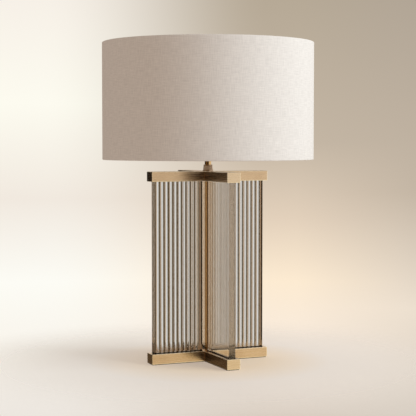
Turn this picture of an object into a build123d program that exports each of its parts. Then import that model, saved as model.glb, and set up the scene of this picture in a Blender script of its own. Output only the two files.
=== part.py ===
"""Column table lamp: four reeded glass fins between two brass crosses, under a linen drum shade.

Units are millimetres. Z is up, the lamp's axis is the Z axis, and Z = 0 is the table top.
The arms of both crosses lie along X and Y: left is -X, right is +X, front is -Y, back is +Y.
"""
from build123d import *
import os
from math import cos, radians, sin, sqrt

# Crosses, top and bottom alike
ARM_REACH = 134.0          # axis to the end of an arm
ARM_WIDTH = 30.0
CROSS_HEIGHT = 21.0
INNER_CORNER_RADIUS = 1.6
EDGE_RADIUS = 0.7
FELT_THICKNESS = 1.5
COLUMN_GAP = 364.0         # clear height of glass between the crosses

# Glass fins
FIN_THICKNESS = 15.0
FIN_INNER = 16.3           # axis to the fin's inner edge
REED_PITCH = 10.0
FULL_REEDS = 10            # on each face, with half a reed at either end
REED_RADIUS = 7.0
GROOVE_DEPTH = 6.5
CUSHION_WALL = 0.6
CUSHION_FLOOR = 1.0
CUSHION_PROUD = 0.3        # height of the cushion above the brass

# Centre hardware
ROD_RADIUS = 5.0           # hollow M10 x 1 rod
ROD_BORE_RADIUS = 3.5
ROD_LIFT = 1.5             # the rod's lower end above the base's underside
ROD_TUCK = 2.0             # gap between the rod's upper end and the lampholder's core
WASHER_RADIUS = 12.0
WASHER_THICKNESS = 1.5
NUT_ACROSS_FLATS = 14.0
NUT_THICKNESS = 4.0
TUBE_RADIUS = 7.0
TUBE_WALL = 1.4
COLLAR_HEIGHT = 14.0
COLLAR_BASE_RADIUS = 11.2
COLLAR_TOP_RADIUS = 9.8
STEM_LENGTH = 32.5

# Flex way in the base
POCKET_RADIUS = 15.0
POCKET_DEPTH = 8.0
CHANNEL_WIDTH = 9.0
CHANNEL_DEPTH = 10.5
BUSH_AXIS_HEIGHT = 7.5
BUSH_BORE_RADIUS = 3.3
BUSH_BODY_RADIUS = 4.5
BUSH_FLANGE_RADIUS = 5.8
BUSH_FLANGE = 1.6
END_WALL = 7.0

# E27 lampholder, heights above its foot
HOLDER_RADIUS = 20.5
HOLDER_WALL = 1.2          # brass cap
SKIRT_RADIUS = 20.0
SKIRT_FOOT = 27.0
SKIRT_TOP = 65.0
FLANGE_RADIUS = 23.5
FLANGE_TOP = 30.0
CORE_RADIUS = 18.0
CORE_FOOT = 14.0
CORE_FACE = 38.0
CORE_TOP = 62.0
SHELL_RADIUS = 14.0
SHELL_WALL = 0.5
SWITCH_HEIGHT = 20.0
SWITCH_RADIUS = 2.5
SWITCH_OUT = 33.0          # the pushed end, out of the holder
SWITCH_IN = 25.0           # the far end
SHADE_RING_HEIGHT = 10.0
SHADE_RING_RADIUS = 27.0

# Bulb, A60 shape, heights above the lampholder's foot
BULB_TIP = 43.3
BULB_CENTRE = 121.0
BULB_RADIUS = 30.0
NECK_RADIUS = 12.9
GLASS_WALL = 0.8
CAP_RADIUS = 13.1
CAP_WALL = 0.5
GLASS_FOOT = 64.0          # lower edge of the bulb's glass

# Drum shade
SHADE_RADIUS = 225.0
SHADE_HEIGHT = 248.0
SHADE_FOOT = 432.0         # height of the shade's bottom edge above the table
LINEN = 0.8
LINER = 0.8
HEM = 7.0                  # height of the linen turned up inside each ring
NOTCH_WIDTH = 5.5          # snip in the lower hem for each spoke
WIRE_RADIUS = 2.2
SPOKE_RADIUS = 2.0
SPOKE_BEND = 14.0
HUB_BORE_RADIUS = 21.0
HUB_RADIUS = 32.0
HUB_THICKNESS = 2.0
SPOKE_RISE_REACH = 32.0    # radial length of the spokes' sloping ends

CLEAR = 0.3                # gap between bodies that move apart
RUNNING = 0.05             # radial clearance of a running thread

BASE_FOOT = FELT_THICKNESS
BASE_TOP = BASE_FOOT + CROSS_HEIGHT
TOP_FOOT = BASE_TOP + COLUMN_GAP
TOP_TOP = TOP_FOOT + CROSS_HEIGHT
FIN_OUTER = FIN_INNER + (FULL_REEDS + 1) * REED_PITCH
FIN_FOOT = BASE_TOP - GROOVE_DEPTH + CUSHION_FLOOR
FIN_HEIGHT = COLUMN_GAP + 2 * (GROOVE_DEPTH - CUSHION_FLOOR)
STEM_FOOT = TOP_TOP + COLLAR_HEIGHT
HOLDER_FOOT = STEM_FOOT + STEM_LENGTH
SHADE_TOP = SHADE_FOOT + SHADE_HEIGHT
LINER_RADIUS = SHADE_RADIUS - LINEN
WIRE_CIRCLE = LINER_RADIUS - LINER - WIRE_RADIUS
HUB_FOOT = HOLDER_FOOT + FLANGE_TOP + CLEAR
RING_FOOT = HUB_FOOT + HUB_THICKNESS + CLEAR

ARM_TURNS = {"right": 0, "back": 90, "left": 180, "front": 270}


def tube(outer, inner, foot, height):
    """Upright tube on the lamp's axis, standing at the height `foot`."""
    ring = Circle(outer) - Circle(inner)
    return Pos(0, 0, foot) * extrude(ring, height)


def turned(*corners):
    """Solid turned about the lamp's axis from (radius, height) corners."""
    outline = Polyline(*[(r, 0, z) for r, z in corners], close=True)
    return revolve(make_face(outline), Axis.Z, 360)


def arc(centre, radius, start, end):
    """Arc in the XZ plane about (x, z), between two angles in degrees."""
    angles = (start, (start + end) / 2, end)
    points = [(centre[0] + radius * cos(radians(a)), 0, centre[1] + radius * sin(radians(a))) for a in angles]
    return ThreePointArc(*points)


def around(solid, count, start=0):
    """`count` copies of a solid, evenly spaced about the lamp's axis."""
    return [Rot(0, 0, start + turn * 360 / count) * solid for turn in range(count)]


def cross_blank(foot):
    """Plain cross of two bars, with eased edges and small fillets where the arms meet."""
    plan = Rectangle(2 * ARM_REACH, ARM_WIDTH) + Rectangle(ARM_WIDTH, 2 * ARM_REACH)
    corners = [v for v in plan.vertices() if abs(v.X) < ARM_WIDTH and abs(v.Y) < ARM_WIDTH]
    plan = fillet(corners, INNER_CORNER_RADIUS)
    blank = extrude(plan, CROSS_HEIGHT)
    rims = blank.faces().sort_by(Axis.Z)[0].edges() + blank.faces().sort_by(Axis.Z)[-1].edges()
    uprights = blank.edges().filter_by(Axis.Z)
    ends = [e for e in uprights if max(abs(e.center().X), abs(e.center().Y)) > ARM_WIDTH]
    blank = fillet(list(rims) + ends, EDGE_RADIUS)
    return Pos(0, 0, foot) * blank


def grooves(foot):
    """Four straight grooves, one along each arm, for the cushioned fins."""
    length = FIN_OUTER - FIN_INNER + 2 * CUSHION_WALL
    width = FIN_THICKNESS + 2 * CUSHION_WALL
    middle = (FIN_OUTER + FIN_INNER) / 2
    cutter = Pos(middle, 0, foot + GROOVE_DEPTH / 2) * Box(length, width, GROOVE_DEPTH)
    return around(cutter, 4)


def base_cross():
    """Lower cross: grooved on top, with a nut pocket and a flex channel underneath."""
    cross = cross_blank(BASE_FOOT)
    for cutter in grooves(BASE_TOP - GROOVE_DEPTH):
        cross -= cutter
    cross -= Pos(0, 0, BASE_FOOT) * extrude(Circle(ROD_RADIUS + RUNNING), CROSS_HEIGHT)
    cross -= Pos(0, 0, BASE_FOOT) * extrude(Circle(POCKET_RADIUS), POCKET_DEPTH)
    channel_length = ARM_REACH - END_WALL
    channel = Box(CHANNEL_WIDTH, channel_length, CHANNEL_DEPTH, align=(Align.CENTER, Align.MIN, Align.MIN))
    cross -= Pos(0, 0, BASE_FOOT) * channel
    cross -= bush_way(BUSH_BODY_RADIUS, ARM_REACH - END_WALL, END_WALL)
    return cross


def bush_way(radius, start, length):
    """Level cylinder along +Y on the axis of the flex entry."""
    return Pos(0, start, BUSH_AXIS_HEIGHT) * extrude(Plane.XZ * Circle(radius), -length)


def base_felt():
    """Felt cross glued under the base, a little inside its edges; it also closes the channel."""
    inset = 2.0
    plan = Rectangle(2 * (ARM_REACH - inset), ARM_WIDTH - 2 * inset)
    plan += Rectangle(ARM_WIDTH - 2 * inset, 2 * (ARM_REACH - inset))
    return extrude(plan, FELT_THICKNESS)


def cable_bush():
    """Rubber bush in the back arm's end, with an outer flange and a snap ring inside."""
    snap = 1.0
    body = bush_way(BUSH_BODY_RADIUS, ARM_REACH - END_WALL - snap, END_WALL + snap)
    flange = bush_way(BUSH_FLANGE_RADIUS, ARM_REACH, BUSH_FLANGE)
    bore = bush_way(BUSH_BORE_RADIUS, ARM_REACH - END_WALL - snap, END_WALL + snap + BUSH_FLANGE)
    outer_rim = flange.edges().filter_by(GeomType.CIRCLE).sort_by(Axis.Y)[-1]
    return body + fillet(outer_rim, BUSH_FLANGE / 2) - bore


def cushion_set(foot, floor_below):
    """Four rubber trays that line the grooves; the tray's floor is below or above the glass."""
    height = GROOVE_DEPTH + CUSHION_PROUD
    middle = (FIN_OUTER + FIN_INNER) / 2
    length = FIN_OUTER - FIN_INNER
    tray = Box(length + 2 * CUSHION_WALL, FIN_THICKNESS + 2 * CUSHION_WALL, height)
    lift = CUSHION_FLOOR if floor_below else -CUSHION_FLOOR
    tray -= Pos(0, 0, lift) * Box(length, FIN_THICKNESS, height)
    return Compound(children=around(Pos(middle, 0, foot + height / 2) * tray, 4))


def reeded_face():
    """Section of one fin along +X: ten convex reeds on each face and half a reed at either end.

    A reed is an arc of REED_RADIUS over one pitch, with its crest at full thickness. At the
    distance s from the crest its face stands FIN_THICKNESS / 2 - R + sqrt(R^2 - s^2) off the middle.
    """
    def stand(distance):
        return FIN_THICKNESS / 2 - REED_RADIUS + sqrt(REED_RADIUS ** 2 - distance ** 2)

    lines = [Line((x, -stand(0)), (x, stand(0))) for x in (FIN_INNER, FIN_OUTER)]
    for side in (1, -1):
        for reed in range(FULL_REEDS + 2):
            crest = FIN_INNER + reed * REED_PITCH
            start = max(crest - REED_PITCH / 2, FIN_INNER)
            end = min(crest + REED_PITCH / 2, FIN_OUTER)
            points = [(x, side * stand(x - crest)) for x in (start, (start + end) / 2, end)]
            lines.append(ThreePointArc(*points))
    return make_face(lines)


def glass_fin(turn):
    """One slab of cast glass, reeded on both faces, standing on its cushion."""
    return Rot(0, 0, turn) * Pos(0, 0, FIN_FOOT) * extrude(reeded_face(), FIN_HEIGHT)


def top_cross():
    """Upper cross: the base cross turned over, without the pocket and channel."""
    cross = cross_blank(TOP_FOOT)
    for cutter in grooves(TOP_FOOT):
        cross -= cutter
    return cross - Pos(0, 0, TOP_FOOT) * extrude(Circle(ROD_RADIUS + RUNNING), CROSS_HEIGHT)


def tie_rod():
    """Hollow rod that pulls the two crosses together and carries the flex up to the lampholder."""
    foot = BASE_FOOT + ROD_LIFT
    return tube(ROD_RADIUS, ROD_BORE_RADIUS, foot, HOLDER_FOOT + CORE_FOOT - ROD_TUCK - foot)


def base_washer():
    """Plain washer at the roof of the base pocket."""
    foot = BASE_FOOT + POCKET_DEPTH - WASHER_THICKNESS
    return tube(WASHER_RADIUS, ROD_RADIUS + RUNNING, foot, WASHER_THICKNESS)


def base_nut():
    """Thin hexagon nut under the washer."""
    section = RegularPolygon(NUT_ACROSS_FLATS / 2, 6, major_radius=False) - Circle(ROD_RADIUS)
    foot = BASE_FOOT + POCKET_DEPTH - WASHER_THICKNESS - NUT_THICKNESS
    return Pos(0, 0, foot) * extrude(section, NUT_THICKNESS)


def neck_collar():
    """Turned brass collar nut on the upper cross: a foot bead, a tapered body and a top bead."""
    z = TOP_TOP
    bead = 2.4
    return turned(
        (ROD_RADIUS, z), (COLLAR_BASE_RADIUS, z), (COLLAR_BASE_RADIUS, z + bead),
        (COLLAR_BASE_RADIUS - 0.8, z + bead + 0.8), (COLLAR_TOP_RADIUS - 0.5, z + COLLAR_HEIGHT - bead),
        (COLLAR_TOP_RADIUS, z + COLLAR_HEIGHT - bead + 0.5), (COLLAR_TOP_RADIUS, z + COLLAR_HEIGHT - 0.8),
        (COLLAR_TOP_RADIUS - 0.8, z + COLLAR_HEIGHT), (ROD_RADIUS, z + COLLAR_HEIGHT),
    )


def holder_cap():
    """Brass cup of the lampholder, with a threaded neck and two holes for the switch bar."""
    z = HOLDER_FOOT
    inner = HOLDER_RADIUS - HOLDER_WALL
    cup = turned(
        (ROD_RADIUS, z), (8.5, z), (9.0, z + 0.5), (9.0, z + 7.0), (10.5, z + 8.5), (18.5, z + 8.8),
        (HOLDER_RADIUS, z + 11.0), (HOLDER_RADIUS, z + SKIRT_FOOT), (inner, z + SKIRT_FOOT),
        (inner, z + 11.2), (18.0, z + 10.0), (ROD_RADIUS, z + 10.0),
    )
    return cup - switch_way(2.5 * HOLDER_RADIUS) - grub_bar(ROD_RADIUS)


def switch_way(length):
    """Level cylinder along X on the switch bar's axis, with a running gap round the bar."""
    return Pos(0, 0, HOLDER_FOOT + SWITCH_HEIGHT) * Rot(0, 90, 0) * Cylinder(SWITCH_RADIUS + CLEAR, length)


def grub_bar(start):
    """Level cylinder on the back of the cap's neck, from `start` outwards."""
    screw_radius = 1.5
    reach = 9.4
    bar = extrude(Plane.XZ * Circle(screw_radius), -(reach - start))
    return Pos(0, start, HOLDER_FOOT + 3.8) * bar


def holder_core():
    """Insulating core: a body that holds the terminals and a sleeve round the screw shell."""
    z = HOLDER_FOOT
    core = turned(
        (0, z + CORE_FOOT), (CORE_RADIUS, z + CORE_FOOT), (CORE_RADIUS, z + CORE_TOP),
        (SHELL_RADIUS, z + CORE_TOP), (SHELL_RADIUS, z + CORE_FACE), (0, z + CORE_FACE),
    )
    return core - switch_way(2.5 * CORE_RADIUS)


def screw_shell():
    """Thin brass shell that takes the bulb's cap, with a turned-in foot."""
    z = HOLDER_FOOT + CORE_FACE
    inner = SHELL_RADIUS - SHELL_WALL
    return turned(
        (9.0, z), (SHELL_RADIUS, z), (SHELL_RADIUS, HOLDER_FOOT + CORE_TOP), (inner, HOLDER_FOOT + CORE_TOP),
        (inner, z + SHELL_WALL), (9.0, z + SHELL_WALL),
    )


def centre_contact():
    """Springy tongue that rises from the core's face to the bulb's tip."""
    z = HOLDER_FOOT + CORE_FACE
    rise = BULB_TIP - CORE_FACE - CLEAR
    strip = 0.6
    outline = Polyline(
        (-7.5, 0, z), (-3.0, 0, z), (1.0, 0, z + rise - strip), (4.5, 0, z + rise - strip),
        (4.5, 0, z + rise), (0.6, 0, z + rise), (-3.4, 0, z + strip), (-7.5, 0, z + strip), close=True,
    )
    width = 4.0
    return Pos(0, width / 2, 0) * extrude(make_face(outline), width, dir=(0, -1, 0))


def terminal_screws():
    """Two cheese-head terminal screws under the core, front and back."""
    head = Cylinder(2.8, 2.0, align=(Align.CENTER, Align.CENTER, Align.MAX))
    head -= Box(6.0, 0.8, 1.0)
    return Compound(children=around(Pos(0, 11.0, HOLDER_FOOT + CORE_FOOT) * head, 2))


def holder_skirt():
    """Outer sleeve of the lampholder: a spigot in the cap, a flange for the shade, a threaded barrel."""
    z = HOLDER_FOOT
    bore = CORE_RADIUS + 0.2
    spigot = HOLDER_RADIUS - HOLDER_WALL
    mouth = 15.0
    return turned(
        (bore, z + 23.5), (spigot, z + 23.5), (spigot, z + SKIRT_FOOT), (FLANGE_RADIUS, z + SKIRT_FOOT),
        (FLANGE_RADIUS, z + FLANGE_TOP), (SKIRT_RADIUS, z + FLANGE_TOP), (SKIRT_RADIUS, z + SKIRT_TOP - 1.0),
        (SKIRT_RADIUS - 1.0, z + SKIRT_TOP), (mouth, z + SKIRT_TOP), (mouth, z + CORE_TOP),
        (bore, z + CORE_TOP),
    )


def switch_bar():
    """Push-through bar switch: one round bar with domed ends, pushed from either side."""
    bar = Cylinder(SWITCH_RADIUS, SWITCH_OUT + SWITCH_IN)
    bar = fillet(bar.edges().filter_by(GeomType.CIRCLE), SWITCH_RADIUS * 0.7)
    middle = (SWITCH_OUT - SWITCH_IN) / 2
    return Pos(middle, 0, HOLDER_FOOT + SWITCH_HEIGHT) * Rot(0, 90, 0) * bar


def shade_ring():
    """Threaded ring that clamps the shade's hub, with finger scallops round its rim."""
    ring = tube(SHADE_RING_RADIUS, SKIRT_RADIUS + RUNNING, RING_FOOT, SHADE_RING_HEIGHT)
    rim = ring.edges().filter_by(GeomType.CIRCLE).sort_by(SortBy.RADIUS)[-2:]
    ring = chamfer(rim, 1.0)
    scallop_radius = 2.2
    scallop = Pos(SHADE_RING_RADIUS + 1.2, 0, RING_FOOT) * extrude(Circle(scallop_radius), SHADE_RING_HEIGHT)
    for cutter in around(scallop, 12):
        ring -= cutter
    return ring


def bulb_contact():
    """Solder tip of the bulb."""
    z = HOLDER_FOOT + BULB_TIP
    return turned((0, z), (2.8, z), (4.5, z + 1.0), (4.5, z + 1.5), (0, z + 1.5))


def bulb_insulator():
    """Black glass between the tip and the screw cap."""
    z = HOLDER_FOOT + BULB_TIP + 1.5
    inner = CAP_RADIUS - CAP_WALL
    return turned((0, z), (5.5, z), (12.0, z + 4.7), (inner, z + 4.7), (inner, z + 7.0), (0, z + 7.0))


def bulb_cap():
    """Screw cap: a thin shell and a wider skirt crimped round the glass neck."""
    z = HOLDER_FOOT
    inner = CAP_RADIUS - CAP_WALL
    crimp = 14.0
    return turned(
        (inner, z + 49.5), (CAP_RADIUS, z + 49.5), (CAP_RADIUS, z + 62.5), (crimp, z + GLASS_FOOT),
        (crimp, z + 72.0), (NECK_RADIUS, z + 72.0), (NECK_RADIUS, z + GLASS_FOOT), (inner, z + GLASS_FOOT),
    )


def bulb_glass():
    """Thin envelope: a straight neck, a concave shoulder and a round globe, all tangent.

    The shoulder's centre lies at (neck + shoulder, zn) with
    (neck + shoulder)^2 + (zc - zn)^2 = (shoulder + globe)^2, so that it touches the globe's circle.
    """
    shoulder = 30.0
    centre = HOLDER_FOOT + BULB_CENTRE
    across = NECK_RADIUS + shoulder
    drop = sqrt((shoulder + BULB_RADIUS) ** 2 - across ** 2)
    slope = Vector(across, drop).get_angle(Vector(1, 0))
    foot = HOLDER_FOOT + GLASS_FOOT
    lines = []
    for inset in (0, GLASS_WALL):
        lines.append(Line((NECK_RADIUS - inset, 0, foot), (NECK_RADIUS - inset, 0, centre - drop)))
        lines.append(arc((across, centre - drop), shoulder + inset, 180, 180 - slope))
        lines.append(arc((0, centre), BULB_RADIUS - inset, -slope, 90))
    lines.append(Line((NECK_RADIUS - GLASS_WALL, 0, foot), (NECK_RADIUS, 0, foot)))
    lines.append(Line((0, 0, centre + BULB_RADIUS - GLASS_WALL), (0, 0, centre + BULB_RADIUS)))
    return revolve(make_face(lines), Axis.Z, 360)


def bulb_stem():
    """Glass mount inside the neck: a flare sealed to the envelope and a slim post."""
    z = HOLDER_FOOT
    flare = NECK_RADIUS - GLASS_WALL
    foot = z + GLASS_FOOT
    return turned(
        (0, foot), (flare, foot), (flare, foot + 1.5), (5, foot + 8),
        (3.5, z + 92), (1.5, z + 100), (0, z + 100),
    )


def bulb_leads():
    """Wire frame on the post: a centre wire with a star of four arms at each end."""
    z = HOLDER_FOOT
    wire = 0.8
    star = 8.0
    frame = Pos(0, 0, z + 100) * extrude(Circle(wire), 39.6)
    arm = Pos(star / 2, 0, 0) * Rot(0, 90, 0) * Cylinder(wire, star)
    for height in (101.2, 138.8):
        for turned_arm in around(Pos(0, 0, z + height) * arm, 4):
            frame += turned_arm
    return frame


def bulb_filaments():
    """Four straight filaments between the two stars."""
    filament = Pos(7.0, 0, HOLDER_FOOT + 102.0) * extrude(Circle(1.0), 36.0)
    return Compound(children=around(filament, 4))


def wire_ring(height):
    """Round wire ring of the shade frame, its centre at the given height."""
    return Pos(0, 0, height) * Torus(WIRE_CIRCLE, WIRE_RADIUS)


def shade_linen():
    """Linen drum, folded in round both wire rings and snipped for the three spokes."""
    inner = SHADE_RADIUS - LINEN
    lip_outer = WIRE_CIRCLE - WIRE_RADIUS
    lip_inner = lip_outer - LINEN
    drum = turned(
        (lip_inner, SHADE_FOOT), (SHADE_RADIUS, SHADE_FOOT), (SHADE_RADIUS, SHADE_TOP), (lip_inner, SHADE_TOP),
        (lip_inner, SHADE_TOP - HEM), (lip_outer, SHADE_TOP - HEM), (lip_outer, SHADE_TOP - LINEN),
        (inner, SHADE_TOP - LINEN), (inner, SHADE_FOOT + LINEN), (lip_outer, SHADE_FOOT + LINEN),
        (lip_outer, SHADE_FOOT + HEM), (lip_inner, SHADE_FOOT + HEM),
    )
    notch_foot = SHADE_FOOT + 2 * LINEN
    notch = Pos(lip_inner, 0, notch_foot + HEM / 2) * Box(2 * LINEN + CLEAR, NOTCH_WIDTH, HEM)
    for cutter in around(notch, 3, start=90):
        drum -= cutter
    return drum


def shade_liner():
    """Stiff translucent lining sheet behind the linen."""
    return tube(LINER_RADIUS, LINER_RADIUS - LINER, SHADE_FOOT + LINEN, SHADE_HEIGHT - 2 * LINEN)


def shade_spider():
    """Flat hub that sits on the lampholder's flange, with three bent spokes welded to the lower ring."""
    ring_height = SHADE_FOOT + LINEN + WIRE_RADIUS
    spoke_height = HUB_FOOT + HUB_THICKNESS - SPOKE_RADIUS
    hub_end = HUB_RADIUS - 2.5
    bend = WIRE_CIRCLE - SPOKE_RISE_REACH
    corners = ((WIRE_CIRCLE, 0, ring_height), (bend, 0, spoke_height), (hub_end, 0, spoke_height))
    route = FilletPolyline(*corners, radius=SPOKE_BEND)
    spoke = sweep(Plane(route @ 0, z_dir=route % 0) * Circle(SPOKE_RADIUS), path=route)
    spoke -= wire_ring(ring_height)
    spider = tube(HUB_RADIUS, HUB_BORE_RADIUS, HUB_FOOT, HUB_THICKNESS)
    for arm in around(spoke, 3, start=90):
        spider += arm
    return spider


nodes = {
    "base_felt": base_felt(),
    "base_cross": base_cross(),
    "cable_bush": cable_bush(),
    "base_washer": base_washer(),
    "base_nut": base_nut(),
    "fin_cushions_lower": cushion_set(BASE_TOP - GROOVE_DEPTH, True),
    "fin_cushions_upper": cushion_set(TOP_FOOT - CUSHION_PROUD, False),
    "top_cross": top_cross(),
    "centre_tube": tube(TUBE_RADIUS, TUBE_RADIUS - TUBE_WALL, BASE_TOP, COLUMN_GAP),
    "tie_rod": tie_rod(),
    "neck_collar": neck_collar(),
    "stem_tube": tube(TUBE_RADIUS, TUBE_RADIUS - TUBE_WALL, STEM_FOOT, STEM_LENGTH),
    "holder_cap": holder_cap(),
    "cap_grub_screw": grub_bar(ROD_RADIUS),
    "holder_core": holder_core(),
    "terminal_screws": terminal_screws(),
    "screw_shell": screw_shell(),
    "centre_contact": centre_contact(),
    "holder_skirt": holder_skirt(),
    "switch_bar": switch_bar(),
    "shade_ring": shade_ring(),
    "bulb_contact": bulb_contact(),
    "bulb_insulator": bulb_insulator(),
    "bulb_cap": bulb_cap(),
    "bulb_glass": bulb_glass(),
    "bulb_stem": bulb_stem(),
    "bulb_leads": bulb_leads(),
    "bulb_filaments": bulb_filaments(),
    "shade_spider": shade_spider(),
    "shade_lower_ring": wire_ring(SHADE_FOOT + LINEN + WIRE_RADIUS),
    "shade_upper_ring": wire_ring(SHADE_TOP - LINEN - WIRE_RADIUS),
    "shade_liner": shade_liner(),
    "shade_linen": shade_linen(),
}
for side, turn in ARM_TURNS.items():
    nodes[f"glass_fin_{side}"] = glass_fin(turn)

os.makedirs("parts", exist_ok=True)
for name, shape in nodes.items():
    export_step(shape, f"parts/{name}.step")
print(len(nodes), "sub-parts")
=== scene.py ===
from math import cos, pi, radians, sin

import bmesh
import bpy
import numpy as np
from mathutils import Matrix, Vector


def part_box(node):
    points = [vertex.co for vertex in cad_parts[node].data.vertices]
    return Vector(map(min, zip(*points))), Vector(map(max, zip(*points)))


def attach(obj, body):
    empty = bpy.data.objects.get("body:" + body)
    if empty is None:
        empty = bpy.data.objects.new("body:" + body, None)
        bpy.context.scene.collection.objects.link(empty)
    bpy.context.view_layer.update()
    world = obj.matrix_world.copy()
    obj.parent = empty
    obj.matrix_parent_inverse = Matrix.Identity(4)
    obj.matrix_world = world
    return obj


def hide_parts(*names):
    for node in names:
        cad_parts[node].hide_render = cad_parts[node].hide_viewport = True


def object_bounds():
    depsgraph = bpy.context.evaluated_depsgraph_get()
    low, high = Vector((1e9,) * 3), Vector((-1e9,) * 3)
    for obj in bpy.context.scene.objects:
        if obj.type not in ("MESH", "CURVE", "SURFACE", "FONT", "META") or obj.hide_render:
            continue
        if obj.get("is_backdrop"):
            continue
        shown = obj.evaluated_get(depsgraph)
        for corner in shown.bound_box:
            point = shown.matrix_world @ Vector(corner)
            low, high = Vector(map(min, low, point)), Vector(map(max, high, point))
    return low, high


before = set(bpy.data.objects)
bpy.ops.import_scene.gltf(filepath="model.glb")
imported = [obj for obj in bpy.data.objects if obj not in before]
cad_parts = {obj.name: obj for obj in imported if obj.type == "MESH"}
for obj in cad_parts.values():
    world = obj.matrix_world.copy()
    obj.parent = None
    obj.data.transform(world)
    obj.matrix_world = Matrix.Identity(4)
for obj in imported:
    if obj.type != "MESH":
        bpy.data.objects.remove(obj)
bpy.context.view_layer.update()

# The camera stands a little above the glass column, looks slightly down at it and is turned
# 23 degrees, so that one arm of the crosses points almost at it. The lens is a long one.
camera_turn = radians(-23.29)
camera_distance = 2.695
camera_height = 0.4699
aim_height = 0.3284
lens = bpy.data.cameras.new("camera")
lens.sensor_width = 36.0
lens.lens = 109.0
camera = bpy.data.objects.new("camera", lens)
bpy.context.scene.collection.objects.link(camera)
bpy.context.scene.camera = camera
camera.location = (camera_distance * sin(camera_turn), -camera_distance * cos(camera_turn), camera_height)
aim = Vector((0, 0, aim_height)) - camera.location
camera.rotation_euler = aim.to_track_quat("-Z", "Y").to_euler()


# The foot is a cross of pressed wool felt, 1.5 mm thick, glued under the brass.
# Wool felt: matt, nearly black brown, with short fibres that catch a little light.
mm = 0.001
fibre = 0.6 * mm
fibre_relief = 0.2 * mm


def linear(colour):
    """sRGB hex to linear RGBA: c / 12.92 up to 0.04045, and ((c + 0.055) / 1.055) ^ 2.4 above."""
    srgb = np.array([int(colour[i:i + 2], 16) for i in (1, 3, 5)]) / 255
    return (*np.where(srgb <= 0.04045, srgb / 12.92, ((srgb + 0.055) / 1.055) ** 2.4), 1.0)


def add_node(tree, kind, settings=(), stops=()):
    """Adds a node. Settings fill its attributes and input sockets: a socket, or a node for its first
    output, is linked, a hex colour is turned linear, and anything else is set as it is. Stops fill
    a colour ramp with (position, colour) pairs."""
    node = tree.nodes.new(kind)
    for key, value in dict(settings).items():
        if isinstance(key, str) and hasattr(node, key):
            setattr(node, key, value)
        elif isinstance(value, bpy.types.Node):
            tree.links.new(value.outputs[0], node.inputs[key])
        elif isinstance(value, bpy.types.NodeSocket):
            tree.links.new(value, node.inputs[key])
        else:
            node.inputs[key].default_value = linear(value) if isinstance(value, str) else value
    for index, (position, colour) in enumerate(stops):
        elements = node.color_ramp.elements
        element = elements[index] if index < 2 else elements.new(position)
        element.position = position
        element.color = linear(colour)
    return node


def finish(name, colour, roughness, **sockets):
    """A named material with its Principled shader set; gives the material, its tree and the shader."""
    made = bpy.data.materials.new(name)
    made.use_nodes = True
    shader = made.node_tree.nodes["Principled BSDF"]
    shader.inputs["Base Color"].default_value = linear(colour)
    shader.inputs["Roughness"].default_value = roughness
    for socket, value in sockets.items():
        shader.inputs[socket.replace("_", " ")].default_value = value
    return made, made.node_tree, shader


def dress(material, *names):
    """Gives carried-over pieces their material."""
    for name in names:
        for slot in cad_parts[name].material_slots:
            slot.material = material


felt, tree, shader = finish("wool felt, pressed", "#1d1814", 0.95, Sheen_Weight=0.3)
place = add_node(tree, "ShaderNodeTexCoord")
fibres = add_node(tree, "ShaderNodeTexNoise", {
    "Vector": place.outputs["Object"], "Scale": 1 / fibre, "Detail": 3.0})
tone = add_node(tree, "ShaderNodeValToRGB", {"Fac": fibres}, [(0, "#0f0c0a"), (1, "#2c2621")])
tree.links.new(tone.outputs["Color"], shader.inputs["Base Color"])
bump = add_node(tree, "ShaderNodeBump", {"Height": fibres, "Distance": fibre_relief})
tree.links.new(bump.outputs["Normal"], shader.inputs["Normal"])
dress(felt, "base_felt")


# Both crosses are solid brass bar, milled, brushed along each bar, sawn square and linished at the
# ends, and left to age a little; the bright line along the edges is a painted highlight.
# Brushed brass: warm gold, satin, with fine streaks along the bar and faint brown clouds.
streak_width = 0.5 * mm     # drawn about five times coarser than the real brushing, so that it shows
streak_length = 35 * mm
streak_relief = 0.03 * mm
cloud = 45 * mm
edge_highlight_width = 1.1 * mm             # width of the painted highlight along an edge
arm_half = 15 * mm          # half the width of a bar
level_from = 0.7            # a face counts as level where the Z of its normal is above this
fresh = "#dfc7a9"
browned = "#b4987a"
linished = "#e3d0b6"
# colour of the painted highlight along the edges
painted_edge_highlight = "#fff1d8"
cross_low, cross_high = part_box("base_cross")
half_depth = (cross_high.z - cross_low.z) / 2
between_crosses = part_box("top_cross")[0].z - cross_low.z
brushed_brass, tree, shader = finish("brass, brushed and aged", fresh, 0.25, Metallic=1.0, Anisotropic=0.2)
place = add_node(tree, "ShaderNodeTexCoord")
axes = add_node(tree, "ShaderNodeSeparateXYZ", {0: place.outputs["Object"]})
facing = add_node(tree, "ShaderNodeSeparateXYZ", {0: place.outputs["Normal"]})
tilt = add_node(tree, "ShaderNodeMath", {"operation": "ABSOLUTE", 0: facing.outputs["Z"]})
level = add_node(tree, "ShaderNodeMath", {"operation": "GREATER_THAN", 0: tilt, 1: level_from})
along_x = add_node(tree, "ShaderNodeMath", {"operation": "ABSOLUTE", 0: axes.outputs["X"]})
along_y = add_node(tree, "ShaderNodeMath", {"operation": "ABSOLUTE", 0: axes.outputs["Y"]})
on_x_arm = add_node(tree, "ShaderNodeMath", {"operation": "GREATER_THAN", 0: along_x, 1: along_y})
along_arm = add_node(tree, "ShaderNodeMath", {"operation": "MAXIMUM", 0: along_x, 1: along_y})
across_arm = add_node(tree, "ShaderNodeMath", {"operation": "MINIMUM", 0: along_x, 1: along_y})
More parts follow.
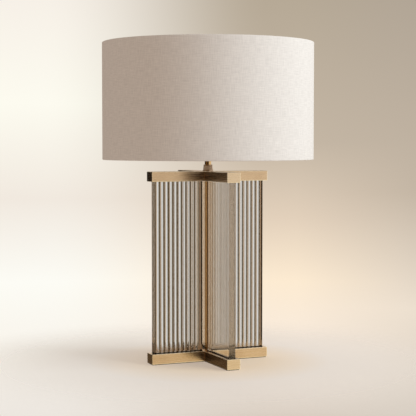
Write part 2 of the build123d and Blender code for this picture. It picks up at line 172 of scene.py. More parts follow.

# a point less than the highlight width from two faces of its bar lies at an edge, which gets a painted
# highlight
above_foot = add_node(tree, "ShaderNodeMath", {
    "operation": "SUBTRACT", 0: axes.outputs["Z"], 1: cross_low.z})
up_bar = add_node(tree, "ShaderNodeMath", {
    "operation": "FLOORED_MODULO", 0: above_foot, 1: between_crosses})
off_middle = add_node(tree, "ShaderNodeMath", {"operation": "SUBTRACT", 0: up_bar, 1: half_depth})
from_middle = add_node(tree, "ShaderNodeMath", {"operation": "ABSOLUTE", 0: off_middle})
near_rim = add_node(tree, "ShaderNodeMath", {
    "operation": "GREATER_THAN", 0: from_middle, 1: half_depth - edge_highlight_width})
near_side = add_node(tree, "ShaderNodeMath", {
    "operation": "GREATER_THAN", 0: across_arm, 1: arm_half - edge_highlight_width})
near_end = add_node(tree, "ShaderNodeMath", {
    "operation": "GREATER_THAN", 0: along_arm, 1: cross_high.x - edge_highlight_width})
faces_near = add_node(tree, "ShaderNodeMath", {"operation": "ADD", 0: near_rim, 1: near_side})
faces_near = add_node(tree, "ShaderNodeMath", {"operation": "ADD", 0: faces_near, 1: near_end})
highlight_at_edge = add_node(tree, "ShaderNodeMath", {"operation": "GREATER_THAN", 0: faces_near, 1: 1.5})

# streaks that are thin along Z, Y and X: on the sides, on top of the X arms and of the Y arms
streaks = []
for thin in (2, 1, 0):
    scale = [1 / streak_length] * 3
    scale[thin] = 1 / streak_width
    stretched = add_node(tree, "ShaderNodeMapping", {"Vector": place.outputs["Object"], "Scale": scale})
    streaks.append(add_node(tree, "ShaderNodeTexNoise", {"Vector": stretched, "Scale": 1.0, "Detail": 3.0}))
on_top = add_node(tree, "ShaderNodeMix", {"data_type": "FLOAT", 0: on_x_arm, 2: streaks[2], 3: streaks[1]})
brushing = add_node(tree, "ShaderNodeMix", {"data_type": "FLOAT", 0: level, 2: streaks[0], 3: on_top})
clouds = add_node(tree, "ShaderNodeTexNoise", {
    "Vector": place.outputs["Object"], "Scale": 1 / cloud, "Detail": 5.0, "Roughness": 0.6})
age = add_node(tree, "ShaderNodeMapRange", {
    "Value": clouds, "From Min": 0.4, "From Max": 0.75, "To Max": 0.35})
aged = add_node(tree, "ShaderNodeMix", {"data_type": "RGBA", 0: age, 6: fresh, 7: browned})
ends = add_node(tree, "ShaderNodeMix", {"data_type": "RGBA", 0: near_end, 6: aged.outputs[2], 7: linished})
# the edges take the painted highlight colour
edges = add_node(tree, "ShaderNodeMix", {"data_type": "RGBA", 0: highlight_at_edge, 6: ends.outputs[2], 7: painted_edge_highlight})
shine = add_node(tree, "ShaderNodeMapRange", {
    "Value": brushing, "From Min": 0.3, "From Max": 0.7, "To Min": 0.86, "To Max": 1.12})
streaked = add_node(tree, "ShaderNodeHueSaturation", {"Color": edges.outputs[2], "Value": shine})
tree.links.new(streaked.outputs[0], shader.inputs["Base Color"])
rough = add_node(tree, "ShaderNodeMapRange", {
    "Value": brushing, "From Min": 0.3, "From Max": 0.7, "To Min": 0.2, "To Max": 0.31})
tree.links.new(rough.outputs[0], shader.inputs["Roughness"])
bump = add_node(tree, "ShaderNodeBump", {"Height": brushing, "Strength": 0.25, "Distance": streak_relief})
tree.links.new(bump.outputs["Normal"], shader.inputs["Normal"])

# the light spreads across the brushing: upwards on the sides, and across the bar on top
over_bar = add_node(tree, "ShaderNodeMix", {
    "data_type": "VECTOR", 0: on_x_arm, 4: (1, 0, 0), 5: (0, 1, 0)})
spread = add_node(tree, "ShaderNodeMix", {
    "data_type": "VECTOR", 0: level, 4: (0, 0, 1), 5: over_bar.outputs[1]})
tree.links.new(spread.outputs[1], shader.inputs["Tangent"])
dress(brushed_brass, "base_cross", "top_cross")


# The flex inlet's bush and the trays under and over the glass are moulded black rubber. The bush
# snaps into the end of the back arm, and the trays line the grooves.
# Rubber: matt black with a faint grey bloom.
rubber, tree, shader = finish("rubber, moulded", "#121211", 0.6)


def mottle(tree, shader, grain, low, high, depth=0.0):
    """Roughness that varies from low to high over grains of a size given along X, Y and Z; with a
    depth, the grains also stand up by it."""
    place = add_node(tree, "ShaderNodeTexCoord")
    sized = add_node(tree, "ShaderNodeMapping", {
        "Vector": place.outputs["Object"], "Scale": [1 / size for size in grain]})
    grains = add_node(tree, "ShaderNodeTexNoise", {"Vector": sized, "Scale": 1.0, "Detail": 3.0})
    rough = add_node(tree, "ShaderNodeMapRange", {
        "Value": grains, "From Min": 0.3, "From Max": 0.7, "To Min": low, "To Max": high})
    tree.links.new(rough.outputs[0], shader.inputs["Roughness"])
    if depth:
        bump = add_node(tree, "ShaderNodeBump", {"Height": grains, "Strength": 0.5, "Distance": depth})
        tree.links.new(bump.outputs["Normal"], shader.inputs["Normal"])


mottle(tree, shader, (6 * mm, 6 * mm, 6 * mm), 0.5, 0.8)
dress(rubber, "cable_bush", "fin_cushions_lower", "fin_cushions_upper")


# The nut and washer on the rod, the small screws and the wire frame in the bulb are plated steel.
# The felt hides the nut and washer, and the shade hides the rest, except from above and below.
# Zinc plate: cool grey, satin, slightly mottled.
zinc, tree, shader = finish("steel, zinc plated", "#a5a6a3", 0.35, Metallic=1.0)
mottle(tree, shader, (2 * mm, 2 * mm, 2 * mm), 0.25, 0.5)
dress(zinc, "base_washer", "base_nut", "cap_grub_screw", "terminal_screws", "bulb_leads")


# Each fin is one slab of cast glass with ten convex reeds on both faces, half a reed at either end
# and square ends. Reeds of 7 mm radius stand 10 mm apart, so that the valleys between them are sharp.
# Cast glass: clear with a slight grey, fire polished, so the reeds show as bright and dark stripes.
reed_pitch = 10 * mm
reed_radius = 7 * mm
facets = 16                 # flats round one reed
arris = 0.5 * mm            # ground corner of the slab
seat_gap = 0.05 * mm        # between glass and cushion


def mesh_piece(name, points, faces, material, crease=30):
    """Object from vertices and faces: outward normals, smooth but for edges sharper than crease."""
    mesh = bpy.data.meshes.new(name)
    mesh.from_pydata(points, [], faces)
    work = bmesh.new()
    work.from_mesh(mesh)
    bmesh.ops.remove_doubles(work, verts=work.verts, dist=1e-7)
    bmesh.ops.dissolve_degenerate(work, edges=work.edges, dist=1e-8)
    bmesh.ops.recalc_face_normals(work, faces=work.faces)
    work.to_mesh(mesh)
    work.free()
    mesh.shade_smooth()
    mesh.set_sharp_from_angle(angle=radians(crease))
    mesh.materials.append(material)
    made = bpy.data.objects.new(name, mesh)
    bpy.context.scene.collection.objects.link(made)
    return made


def grid_faces(rows, columns, wrap_rows=False, wrap_columns=False):
    """Quads between neighbouring points of a rows x columns grid, numbered row by row."""
    row = np.arange(rows if wrap_rows else rows - 1)[:, None]
    column = np.arange(columns if wrap_columns else columns - 1)[None, :]
    here = row * columns
    above = (row + 1) % rows * columns
    right = (column + 1) % columns
    quads = np.stack([here + column, here + right, above + right, above + column], -1)
    return quads.reshape(-1, 4).tolist()


def fin_outline(inner, outer, half):
    """Closed outline in (along, across). A reed's face lies R - sqrt(R^2 - s^2) under its crest,
    s being the distance from the crest; the first and last crests are at the slab's ends."""
    reeds = round((outer - inner) / reed_pitch)
    along = np.linspace(inner, outer, reeds * facets + 1)
    along = np.insert(along, [1, -1], [inner + arris, outer - arris])
    from_crest = (along - inner + reed_pitch / 2) % reed_pitch - reed_pitch / 2
    face = half - reed_radius + np.sqrt(reed_radius ** 2 - from_crest ** 2)
    face[[0, -1]] -= arris
    return np.concatenate([np.stack([along, face], 1), np.stack([along, -face], 1)[::-1]])


cast_glass, tree, shader = finish(
    "glass, cast and fire polished", "#f5f5f4", 0.0, Transmission_Weight=1.0, IOR=1.5)
fin_low, fin_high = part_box("glass_fin_right")
outline = fin_outline(fin_low.x, fin_high.x, fin_high.y - seat_gap)
count = len(outline)
reeded_faces = grid_faces(2, count, wrap_columns=True)
end_faces = [list(range(count))[::-1], list(range(count, 2 * count))]
for side, degrees in {"right": 0, "back": 90, "left": 180, "front": 270}.items():
    turn = radians(degrees)
    plan = outline @ np.array([[cos(turn), sin(turn)], [-sin(turn), cos(turn)]])
    levels = (fin_low.z + seat_gap, fin_high.z - seat_gap)
    points = np.concatenate([np.column_stack([plan, np.full(count, z)]) for z in levels])
    fin = mesh_piece("reeded_glass_" + side, points, reeded_faces + end_faces, cast_glass)
    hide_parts("glass_fin_" + side)
    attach(fin, "column")


# The centre tube between the fins and the stem above the crosses are drawn brass tube, cut square
# and polished. Polished brass: deeper gold, mirror-like, with soft drawing lines along the tube.
tube_sides = 96
tube_wall = 1.4 * mm


def turned_piece(name, profile, material, sides=tube_sides, crease=30, threads=()):
    """Solid of revolution: each (radius, height) corner of a closed profile goes round the Z axis.
    Each thread (low, high, pitch, depth) cuts depth / 2 * (1 - cos(2 pi z / pitch - turn)) into the
    radius between two heights, and runs out over half a pitch at either end."""
    profile = np.asarray(profile)
    turn = np.linspace(0, 2 * pi, sides, endpoint=False)
    radius = np.repeat(profile[:, :1], sides, 1)
    height = np.repeat(profile[:, 1:], sides, 1)
    for low, high, pitch, depth in threads:
        cut = np.clip(np.minimum(height - low, high - height) / (pitch / 2), 0, 1)
        radius = radius - cut * depth / 2 * (1 - np.cos(2 * pi * height / pitch - turn[None]))
    points = np.stack([radius * np.cos(turn), radius * np.sin(turn), height], -1).reshape(-1, 3)
    return mesh_piece(name, points, grid_faces(len(profile), sides, True, True), material, crease)


polished_brass, tree, shader = finish("brass, polished", "#dcbb8c", 0.1, Metallic=1.0)
mottle(tree, shader, (1.1 * mm, 1.1 * mm, 80 * mm), 0.08, 0.14)
for name in ("centre_tube", "stem_tube"):
    low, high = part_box(name)
    bore = high.x - tube_wall
    profile = [(high.x, low.z), (high.x, high.z), (bore, high.z), (bore, low.z)]
    tube = turned_piece("polished_" + name, profile, polished_brass)
    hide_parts(name)
    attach(tube, "column")


# A hollow steel rod inside the tubes pulls the crosses together, and its bore is the way up for a
# flex. It is zinc plated like its nut, and both its ends are threaded M10 x 1.
rod_bore = 3.5 * mm
rod_pitch = 1.0 * mm
rod_thread_depth = 0.6 * mm
rod_thread_length = 24 * mm
rod_sides = 48
thread_crease = 50          # degrees; only sharper edges look sharp


def threaded_wall(radius, low, high, step):
    """Closely spaced (radius, height) corners up a wall that a thread is cut into."""
    heights = np.linspace(low, high, round((high - low) / step) + 1)
    return [(radius, height) for height in heights]


rod_low, rod_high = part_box("tie_rod")
rod_radius = rod_high.x
lower_thread = (rod_low.z, rod_low.z + rod_thread_length)
upper_thread = (rod_high.z - rod_thread_length, rod_high.z)
rod_profile = (threaded_wall(rod_radius, *lower_thread, rod_pitch / 6)
               + threaded_wall(rod_radius, *upper_thread, rod_pitch / 6)
               + [(rod_bore, rod_high.z), (rod_bore, rod_low.z)])
rod = turned_piece("threaded_rod", rod_profile, zinc, rod_sides, thread_crease, [
    (*lower_thread, rod_pitch, rod_thread_depth), (*upper_thread, rod_pitch, rod_thread_depth)])
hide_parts("tie_rod")
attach(rod, "column")


# The collar nut on the upper cross is turned brass with a bead at its foot and one at its top.
# Aged brass: browner than the bars, satin, with fine turning lines round it.
aged_brass, tree, shader = finish("brass, turned and aged", "#c6b09b", 0.28, Metallic=1.0)
mottle(tree, shader, (60 * mm, 60 * mm, 0.8 * mm), 0.2, 0.36)
dress(aged_brass, "neck_collar")


# The lampholder is a spun brass cap on the rod, a porcelain core with a brass screw shell,
# and a black moulded sleeve whose coarse outer thread takes the ring that holds the shade.
# Lacquered brass: warm yellow and bright, with faint spinning lines round it.
holder_brass, tree, shader = finish("brass, spun and lacquered", "#cfa561", 0.2, Metallic=1.0)
mottle(tree, shader, (100 * mm, 100 * mm, 0.7 * mm), 0.14, 0.3)
dress(holder_brass, "holder_cap", "centre_contact")

# The screw shell is thin sheet brass with a floor and a rolled thread of seven turns to the inch.
cap_pitch = 25.4 / 7 * mm
rolled_depth = 1.1 * mm
sheet = 0.5 * mm
shell_hole = 9.0 * mm       # radius of the hole in the floor
shell_plain_foot = 2 * mm   # height without thread at the floor, and at the rim
shell_plain_rim = 1.5 * mm
rolled_sides = 72
shell_low, shell_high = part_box("screw_shell")
shell_thread = (shell_low.z + shell_plain_foot, shell_high.z - shell_plain_rim)
outer_wall = threaded_wall(shell_high.x, shell_low.z, shell_high.z, cap_pitch / 12)
inner_wall = threaded_wall(shell_high.x - sheet, shell_low.z + sheet, shell_high.z, cap_pitch / 12)
shell_profile = ([(shell_hole, shell_low.z)] + outer_wall + inner_wall[::-1]
                 + [(shell_hole, shell_low.z + sheet)])
shell = turned_piece("rolled_shell", shell_profile, holder_brass, rolled_sides, thread_crease, [
    (*shell_thread, cap_pitch, rolled_depth)])
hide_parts("screw_shell")
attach(shell, "column")

# Porcelain: off-white under a clear glaze with a soft waviness.
porcelain, tree, shader = finish("porcelain, glazed", "#e8e3d6", 0.12, Coat_Weight=0.5)
mottle(tree, shader, (5 * mm, 5 * mm, 5 * mm), 0.08, 0.2, 0.1 * mm)
dress(porcelain, "holder_core")

# Phenolic resin: near black, moulded, with a slightly uneven gloss.
phenolic, tree, shader = finish("phenolic resin, moulded black", "#151413", 0.3)
mottle(tree, shader, (1.2 * mm, 1.2 * mm, 1.2 * mm), 0.22, 0.42)
dress(phenolic, "shade_ring", "switch_bar")
sleeve_pitch = 2.8 * mm
sleeve_thread_depth = 1.0 * mm
sleeve_radius = 20.0 * mm
sleeve_chamfer = 1.0 * mm
sleeve_plain_foot = 2.0 * mm
sleeve_plain_rim = 1.2 * mm
spigot = 19.3 * mm          # the part below the flange, which goes into the brass cap
spigot_length = 3.5 * mm
flange = 3.0 * mm
sleeve_bore = 18.2 * mm
mouth = 15.0 * mm           # opening above the porcelain, round the bulb's cap
sleeve_low, sleeve_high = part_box("holder_skirt")
flange_foot = sleeve_low.z + spigot_length
flange_top = sleeve_low.z + spigot_length + flange
core_top = shell_high.z
sleeve_profile = (
    [(sleeve_bore, sleeve_low.z), (spigot, sleeve_low.z), (spigot, flange_foot),
     (sleeve_high.x, flange_foot), (sleeve_high.x, flange_top)]
    + threaded_wall(sleeve_radius, flange_top, sleeve_high.z - sleeve_chamfer, sleeve_pitch / 10)
    + [(sleeve_radius - sleeve_chamfer, sleeve_high.z), (mouth, sleeve_high.z),
       (mouth, core_top), (sleeve_bore, core_top)])
sleeve_thread = (flange_top + sleeve_plain_foot, sleeve_high.z - sleeve_plain_rim)
sleeve = turned_piece("threaded_skirt", sleeve_profile, phenolic, tube_sides, thread_crease, [
    (*sleeve_thread, sleeve_pitch, sleeve_thread_depth)])
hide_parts("holder_skirt")
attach(sleeve, "column")


# The bulb is a clear one: a rolled metal cap crimped round a blown glass, and four coated filaments.
# Solder: dull grey, cast in a drop.
solder, tree, shader = finish("solder, dull", "#b4b4b0", 0.45, Metallic=1.0)
mottle(tree, shader, (0.8 * mm, 0.8 * mm, 0.8 * mm), 0.35, 0.6, 0.05 * mm)
dress(solder, "bulb_contact")

# Black glass: fused in, glossy.
black_glass, tree, shader = finish("glass, black and fused", "#101012", 0.1)
mottle(tree, shader, (2 * mm, 2 * mm, 2 * mm), 0.06, 0.2)
dress(black_glass, "bulb_insulator")

# Drawn aluminium: pale grey, satin, with lines round it. The cap's thread has the shell's pitch.
cap_metal, tree, shader = finish("aluminium, drawn", "#cfcfcb", 0.3, Metallic=1.0)
mottle(tree, shader, (60 * mm, 60 * mm, 0.6 * mm), 0.22, 0.4)
cap_radius = 13.1 * mm
cap_thread_length = 13.0 * mm
crimp_start = 14.5 * mm     # height at which the crimp round the glass begins
glass_neck = 12.9 * mm
cap_low, cap_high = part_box("bulb_cap")
cap_top = cap_low.z + cap_thread_length
crimp_foot = cap_low.z + crimp_start
outer_wall = threaded_wall(cap_radius, cap_low.z, cap_top, cap_pitch / 12)
inner_wall = threaded_wall(cap_radius - sheet, cap_low.z, cap_top, cap_pitch / 12)
crimp = [(cap_high.x, crimp_foot), (cap_high.x, cap_high.z), (glass_neck, cap_high.z),
         (glass_neck, crimp_foot), (cap_radius - sheet, crimp_foot)]
cap_profile = outer_wall + crimp + inner_wall[::-1]
cap = turned_piece("rolled_cap", cap_profile, cap_metal, rolled_sides, thread_crease, [
    (cap_low.z, cap_top, cap_pitch, rolled_depth)])
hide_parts("bulb_cap")
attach(cap, "bulb")

# Blown glass: clear and colourless, with a slight waviness.
blown_glass, tree, shader = finish(
    "glass, blown and clear", "#fbfcfa", 0.0, Transmission_Weight=1.0, IOR=1.5)
mottle(tree, shader, (14 * mm, 14 * mm, 14 * mm), 0.0, 0.01, 0.05 * mm)
dress(blown_glass, "bulb_glass", "bulb_stem")

# Coated filament: yellow silicone full of phosphor grains.
phosphor, tree, shader = finish("silicone, yellow coated", "#e2b341", 0.5)
mottle(tree, shader, (0.4 * mm, 0.4 * mm, 0.4 * mm), 0.4, 0.6, 0.1 * mm)
dress(phosphor, "bulb_filaments")


# The shade's frame is steel wire in white enamel: a hub with three bent spokes that are welded to
# the lower ring, and a ring for the top hem.
# Baked enamel: white, semi-gloss, with a slight orange peel.
enamel, tree, shader = finish("enamel, white on steel", "#e9e6df", 0.3)
mottle(tree, shader, (1.5 * mm, 1.5 * mm, 1.5 * mm), 0.24, 0.38, 0.05 * mm)
dress(enamel, "shade_spider", "shade_lower_ring", "shade_upper_ring")


# The lining is a stiff white styrene sheet, rolled into the drum, that backs the linen.
# Styrene: white, smooth, with a faint roller grain.
styrene, tree, shader = finish("styrene sheet, white", "#efebe3", 0.45)
mottle(tree, shader, (3 * mm, 3 * mm, 12 * mm), 0.38, 0.55, 0.03 * mm)
dress(styrene, "shade_liner")


# The shade's cover is one length of linen, laid round the lining with a lap at the back,
# folded over both wire rings and glued inside. Linen: plain weave of uneven oatmeal yarns.
cloth = 0.5 * mm
lap = 12 * mm
lift_lead = 6 * mm          # the cloth starts to rise this far before the lap
lift_run = 5 * mm           # and has risen by its own thickness after this
fold = 1.2 * mm             # radius of the folded edges
fold_points = 7             # along each quarter turn of a fold
lip = 7 * mm                # height of the cloth turned up inside each ring
lip_radius = 218.6 * mm
notch_half = 3.0 * mm       # half the width of the lower lip's notch at each spoke
spokes = 3
cloth_columns = 720
cloth_rows = 26             # up the wall, both ends counted
slub = 1.7 * mm             # yarn spacing, drawn twice as coarse as real, so that it shows
slub_length = 20 * mm
yarn_relief = 0.2 * mm
oatmeal = "#e4ded7"


def folded_edge(radius, height, step):
    """Quarter turns from the outer wall round the edge to the lip, as (radius, height) rows: the
    radius goes by cos and the height by sin of the turn, then the other way about. Step is 1 at
    the top edge and -1 at the bottom."""
    turn = np.linspace(0, pi / 2, fold_points)
    inside = height - step * fold
    outer = np.stack([radius - fold + fold * np.cos(turn), inside + step * fold * np.sin(turn)], 1)
    inner = np.stack([lip_radius + fold - fold * np.sin(turn), inside + step * fold * np.cos(turn)], 1)
    end = np.array([[lip_radius, height - step * lip]])
    return np.concatenate([outer, inner, end])


shade_low, shade_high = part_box("shade_linen")
cloth_radius = shade_high.x - cloth / 2
top_edge = folded_edge(cloth_radius, shade_high.z - cloth / 2, 1)
low_edge = folded_edge(cloth_radius, shade_low.z + cloth / 2, -1)
wall_heights = np.linspace(low_edge[0, 1], top_edge[0, 1], cloth_rows)[1:-1]
wall = np.stack([np.full(len(wall_heights), cloth_radius), wall_heights], 1)
profile = np.concatenate([low_edge[::-1], wall, top_edge])
sweep_angle = 2 * pi + lap / cloth_radius
turn = pi / 2 - lap / cloth_radius / 2 + np.linspace(0, sweep_angle, cloth_columns)

# the last of the cloth lies on the first of it: it is lifted off the profile, along its normal
along_cloth = (turn - turn[-1] + (lap + lift_lead) / cloth_radius) * cloth_radius
lift = cloth * np.clip(along_cloth / lift_run, 0, 1)
way = np.gradient(profile, axis=0)
off_profile = np.stack([way[:, 1], -way[:, 0]], 1) / np.linalg.norm(way, axis=1, keepdims=True)
radius = profile[:, None, 0] + lift[None, :] * off_profile[:, None, 0]
height = profile[:, None, 1] + lift[None, :] * off_profile[:, None, 1]
points = np.stack([radius * np.cos(turn), radius * np.sin(turn), height], -1).reshape(-1, 3)

# the turned-up lip at the foot, the first row of faces, is notched round the three spokes
rows, columns = radius.shape
spoke_turn = 2 * pi / spokes
middles = turn[:-1] + np.diff(turn) / 2
from_spoke = (middles - pi / 2 + spoke_turn / 2) % spoke_turn - spoke_turn / 2
uncut = np.ones((rows - 1, columns - 1), bool)
uncut[0] = np.abs(from_spoke) > notch_half / lip_radius
faces = np.array(grid_faces(rows, columns))[uncut.ravel()].tolist()

linen, tree, shader = finish("linen, plain weave", oatmeal, 0.9, Sheen_Weight=0.15)
cover = mesh_piece("linen_cover", points, faces, linen, crease=60)
thick = cover.modifiers.new("cloth", "SOLIDIFY")
thick.thickness = cloth
thick.offset = 0
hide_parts("shade_linen")
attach(cover, "shade")

place = add_node(tree, "ShaderNodeTexCoord")
axes = add_node(tree, "ShaderNodeSeparateXYZ", {0: place.outputs["Object"]})
angle = add_node(tree, "ShaderNodeMath", {
    "operation": "ARCTAN2", 0: axes.outputs["X"], 1: axes.outputs["Y"]})
round_drum = add_node(tree, "ShaderNodeMath", {"operation": "MULTIPLY", 0: angle, 1: cloth_radius})
on_cloth = add_node(tree, "ShaderNodeCombineXYZ", {"X": round_drum, "Y": axes.outputs["Z"]})
yarns = []
for size in ((slub, slub_length), (slub_length, slub)):
    stretched = add_node(tree, "ShaderNodeMapping", {
        "Vector": on_cloth, "Scale": (1 / size[0], 1 / size[1], 1)})
    yarns.append(add_node(tree, "ShaderNodeTexNoise", {
        "noise_dimensions": "2D", "Vector": stretched, "Scale": 1.0, "Detail": 2.0}))
weave = add_node(tree, "ShaderNodeMath", {"operation": "ADD", 0: yarns[0], 1: yarns[1]})
tone = add_node(tree, "ShaderNodeMapRange", {
    "Value": weave, "From Min": 0.6, "From Max": 1.4, "To Min": 0.91, "To Max": 1.09})
woven = add_node(tree, "ShaderNodeHueSaturation", {"Color": oatmeal, "Value": tone})
tree.links.new(woven.outputs[0], shader.inputs["Base Color"])
bump = add_node(tree, "ShaderNodeBump", {"Height": weave, "Strength": 0.4, "Distance": yarn_relief})
tree.links.new(bump.outputs["Normal"], shader.inputs["Normal"])


# The studio's floor is pale and fades out into the backdrop. Beside the brass it has a painted warm glow
# that stands for light the brass reflects onto it. Metal doesn't show the floor, and glass shows only
# the part beside the foot, in a browner colour that is a painted reflection of the brass.
floor_reach = 1.8
floor_sides = 96
fade_start = 0.2            # each start and end is a distance from the middle
fade_end = 0.65
floor_share = 0.6           # share of the floor in what shows, where it hasn't faded
brass_glow_start = 0.12           # the painted glow is full up to here
brass_glow_end = 0.26
glass_start = 0.16          # the part that glass shows
glass_end = 0.27
glass_share = 0.85
pale = "#fbf6f0"
# painted glow of light that the brass reflects onto the floor
warm = "#fde2ba"
# painted reflection of the brass, shown only through the glass
brown = "#b48e5e"
floor_material, tree, shader = finish("floor, pale", pale, 0.8)
place = add_node(tree, "ShaderNodeTexCoord")
light_path = add_node(tree, "ShaderNodeLightPath")
through_glass = light_path.outputs["Is Transmission Ray"]
reach = add_node(tree, "ShaderNodeVectorMath", {"operation": "LENGTH", 0: place.outputs["Object"]})
out = reach.outputs["Value"]
fading = add_node(tree, "ShaderNodeMapRange", {
    "interpolation_type": "SMOOTHSTEP", "Value": out,
    "From Min": fade_start, "From Max": fade_end, "To Min": floor_share, "To Max": 0.0})
bent = add_node(tree, "ShaderNodeMath", {
    "operation": "MAXIMUM", 0: light_path.outputs["Is Glossy Ray"], 1: through_glass})
straight = add_node(tree, "ShaderNodeMath", {"operation": "SUBTRACT", 0: 1.0, 1: bent})
shown = add_node(tree, "ShaderNodeMath", {"operation": "MULTIPLY", 0: straight, 1: fading})
beside_foot = add_node(tree, "ShaderNodeMapRange", {
    "interpolation_type": "SMOOTHSTEP", "Value": out,
    "From Min": glass_start, "From Max": glass_end, "To Min": glass_share, "To Max": 0.0})
in_glass = add_node(tree, "ShaderNodeMath", {"operation": "MULTIPLY", 0: through_glass, 1: beside_foot})
cover_share = add_node(tree, "ShaderNodeMath", {"operation": "MAXIMUM", 0: shown, 1: in_glass})
tree.links.new(cover_share.outputs[0], shader.inputs["Alpha"])
away = add_node(tree, "ShaderNodeMapRange", {"Value": out, "From Min": brass_glow_start, "From Max": brass_glow_end})
brass_glow_mix = add_node(tree, "ShaderNodeMix", {"data_type": "RGBA", 0: away, 6: warm, 7: pale})
floor_tone = add_node(tree, "ShaderNodeMix", {
    "data_type": "RGBA", 0: through_glass, 6: brass_glow_mix.outputs[2], 7: brown})
tree.links.new(floor_tone.outputs[2], shader.inputs["Base Color"])
rim_turn = np.linspace(0, 2 * pi, floor_sides, endpoint=False)
rim = np.stack([np.cos(rim_turn), np.sin(rim_turn), 0 * rim_turn], 1) * floor_reach
floor = mesh_piece("floor", rim, [list(range(floor_sides))], floor_material)
floor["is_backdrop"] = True


# One large soft lamp stands at the right in front, with a cool tint. Metal and glass don't show
# the lamp itself.
key_turn = radians(133)     # from +Y towards +X
key_rise = radians(28)
key_distance = 3.0
key_aim = 0.35
key_side = 2.0
key_watts = 71
key = bpy.data.lights.new("key", "AREA")
key.shape = "RECTANGLE"
key.size = key_side
key.size_y = key_side
key.energy = key_watts
key.color = (0.80, 0.917, 1.0)
key_light = bpy.data.objects.new("key", key)
bpy.context.scene.collection.objects.link(key_light)
key_light.location = np.array([
    sin(key_turn) * cos(key_rise), cos(key_turn) * cos(key_rise), sin(key_rise)]) * key_distance
aim = Vector((0, 0, key_aim)) - key_light.location
key_light.rotation_euler = aim.to_track_quat("-Z", "Y").to_euler()
key_light.visible_glossy = False
key_light.visible_transmission = False


# Metal mirrors a studio that is bright all along the right, brown at the left, and nearly black
# behind the left and round the camera. It is warmer by the floor, and its ceiling is pale but for
# a brown left. Directions are in degrees from +Y towards +X.
world = bpy.data.worlds.new("studio")
bpy.context.scene.world = world
world.use_nodes = True
tree = world.node_tree
tree.nodes.clear()
place = add_node(tree, "ShaderNodeTexCoord")
direction = place.outputs["Generated"]
axes = add_node(tree, "ShaderNodeSeparateXYZ", {0: direction})
rise = axes.outputs["Z"]
azimuth = add_node(tree, "ShaderNodeMath", {
    "operation": "ARCTAN2", 0: axes.outputs["X"], 1: axes.outputs["Y"]})
full_turn = add_node(tree, "ShaderNodeMapRange", {"Value": azimuth, "From Min": -pi, "From Max": pi})

# the walls, the walls by the floor, and the ceiling, as (direction, colour)
studio = []
for directions in (
        ((-180, "#a8977f"), (-175, "#0d0803"), (-143, "#0d0803"), (-120, "#6a5032"), (-80, "#6e5230"),
         (-62, "#0a0603"), (-4, "#0a0603"), (14, "#e6dccd"), (70, "#efe6d9"), (120, "#fffaf2"),
         (154, "#fbf4eb"), (161, "#dbd1c3"), (180, "#a8977f")),
        ((-180, "#a8977f"), (-172, "#1b1207"), (-146, "#1b1207"), (-120, "#6a5032"), (-80, "#80623c"),
         (-62, "#5e4d38"), (-4, "#5e4d38"), (14, "#e6dccd"), (120, "#fff2d8"), (154, "#ffecc0"),
         (161, "#dcc395"), (180, "#a8977f")),
        ((-180, "#cfc3b4"), (-140, "#d8ccbc"), (-105, "#5c4630"), (-20, "#5c4630"), (20, "#cfc3b4"),
         (180, "#cfc3b4"))):
    stops = [(at / 360 + 0.5, colour) for at, colour in directions]
    studio.append(add_node(tree, "ShaderNodeValToRGB", {"Fac": full_turn}, stops))
walls, by_the_floor, ceiling = studio
floorward = add_node(tree, "ShaderNodeMapRange", {"Value": rise, "From Min": -0.10, "From Max": -0.16})
upward = add_node(tree, "ShaderNodeMapRange", {"Value": rise, "From Min": 0.5, "From Max": 0.8})
mirrored = add_node(tree, "ShaderNodeMix", {"data_type": "RGBA", 0: floorward, 6: walls, 7: by_the_floor})
mirrored = add_node(tree, "ShaderNodeMix", {
    "data_type": "RGBA", 0: upward, 6: mirrored.outputs[2], 7: ceiling})


# Glass shows the same in each quarter of the turn: a cream opening, then peach, then brown, and a
# dark gap before the next. Further down it shows a pale floor.
quarter = add_node(tree, "ShaderNodeMath", {"operation": "FLOORED_MODULO", 0: azimuth, 1: pi / 2})
quarter_turn = add_node(tree, "ShaderNodeMapRange", {"Value": quarter, "From Min": 0, "From Max": pi / 2})
openings = add_node(tree, "ShaderNodeValToRGB", {"Fac": quarter_turn}, [
    (at / 90, colour) for at, colour in (
        (0, "#7b6c57"), (3, "#897e6d"), (10, "#c8c5c0"), (17, "#f5f6f6"), (27, "#b3a493"),
        (38, "#d9bf9f"), (47, "#d7b792"), (57, "#a88665"), (66, "#3f2e1a"), (72, "#0b0804"),
        (78, "#241808"), (84, "#635031"), (90, "#7b6c57"))])
downward = add_node(tree, "ShaderNodeMapRange", {"Value": rise, "From Min": -0.24, "From Max": -0.40})
through = add_node(tree, "ShaderNodeMix", {"data_type": "RGBA", 0: downward, 6: openings, 7: "#ded4c8"})


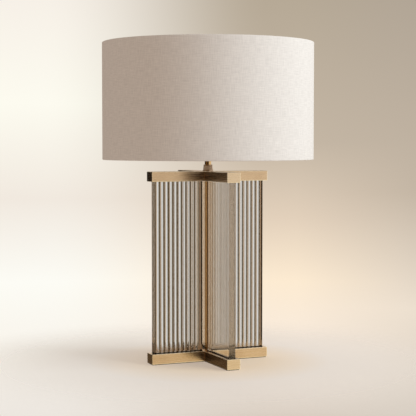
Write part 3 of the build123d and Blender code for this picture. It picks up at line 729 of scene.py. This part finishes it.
# The backdrop is cream at the left, peach low at the right, and taupe further up and further out.
# Only the camera sees it: the shadows are filled by one soft grey brown.
backdrop_low = -0.22        # sines of the rise at its foot and its top
backdrop_high = 0.12
backdrop_right = (0.9185, -0.3954, 0)
filling = "#bfb1a6"
across = add_node(tree, "ShaderNodeVectorMath", {
    "operation": "DOT_PRODUCT", 0: direction, 1: backdrop_right}).outputs["Value"]
up_backdrop = add_node(tree, "ShaderNodeMapRange", {
    "Value": rise, "From Min": backdrop_low, "From Max": backdrop_high})

# its left, its right and its far right, as (sine of the rise, colour)
painted = []
for heights in (
        ((-0.22, "#eae4dd"), (-0.17, "#f8f3ea"), (-0.11, "#fdfcf5"), (-0.045, "#f1e9df"),
         (0.03, "#fdfbf0"), (0.12, "#f6efe6")),
        ((-0.22, "#d5cabe"), (-0.16, "#f8ebdd"), (-0.11, "#fdebd2"), (-0.06, "#e2d0bb"),
         (0.0, "#c4b6a4"), (0.12, "#b5a895")),
        ((-0.22, "#d6cdc2"), (-0.13, "#ecdfcf"), (-0.04, "#c4b6a5"), (0.12, "#b0a495"))):
    stops = [((at - backdrop_low) / (backdrop_high - backdrop_low), colour) for at, colour in heights]
    painted.append(add_node(tree, "ShaderNodeValToRGB", {"Fac": up_backdrop}, stops))
left_part, right_part, far_part = painted
rightward = add_node(tree, "ShaderNodeMapRange", {
    "interpolation_type": "SMOOTHSTEP", "Value": across, "From Min": -0.13, "From Max": 0.05})
far_right = add_node(tree, "ShaderNodeMapRange", {"Value": across, "From Min": 0.07, "From Max": 0.165})
right_side = add_node(tree, "ShaderNodeMix", {
    "data_type": "RGBA", 0: far_right, 6: right_part, 7: far_part})
backdrop = add_node(tree, "ShaderNodeMix", {
    "data_type": "RGBA", 0: rightward, 6: left_part, 7: right_side.outputs[2]})

light_path = add_node(tree, "ShaderNodeLightPath")
seen = filling
for rays, picture in (
        ("Is Camera Ray", backdrop), ("Is Glossy Ray", mirrored), ("Is Transmission Ray", through)):
    choice = add_node(tree, "ShaderNodeMix", {
        "data_type": "RGBA", 0: light_path.outputs[rays], 6: seen, 7: picture.outputs[2]})
    seen = choice.outputs[2]
sky = add_node(tree, "ShaderNodeBackground", {"Color": seen, "Strength": 1.0})
add_node(tree, "ShaderNodeOutputWorld", {"Surface": sky})
bpy.context.scene.view_settings.view_transform = "Standard"

low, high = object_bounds()
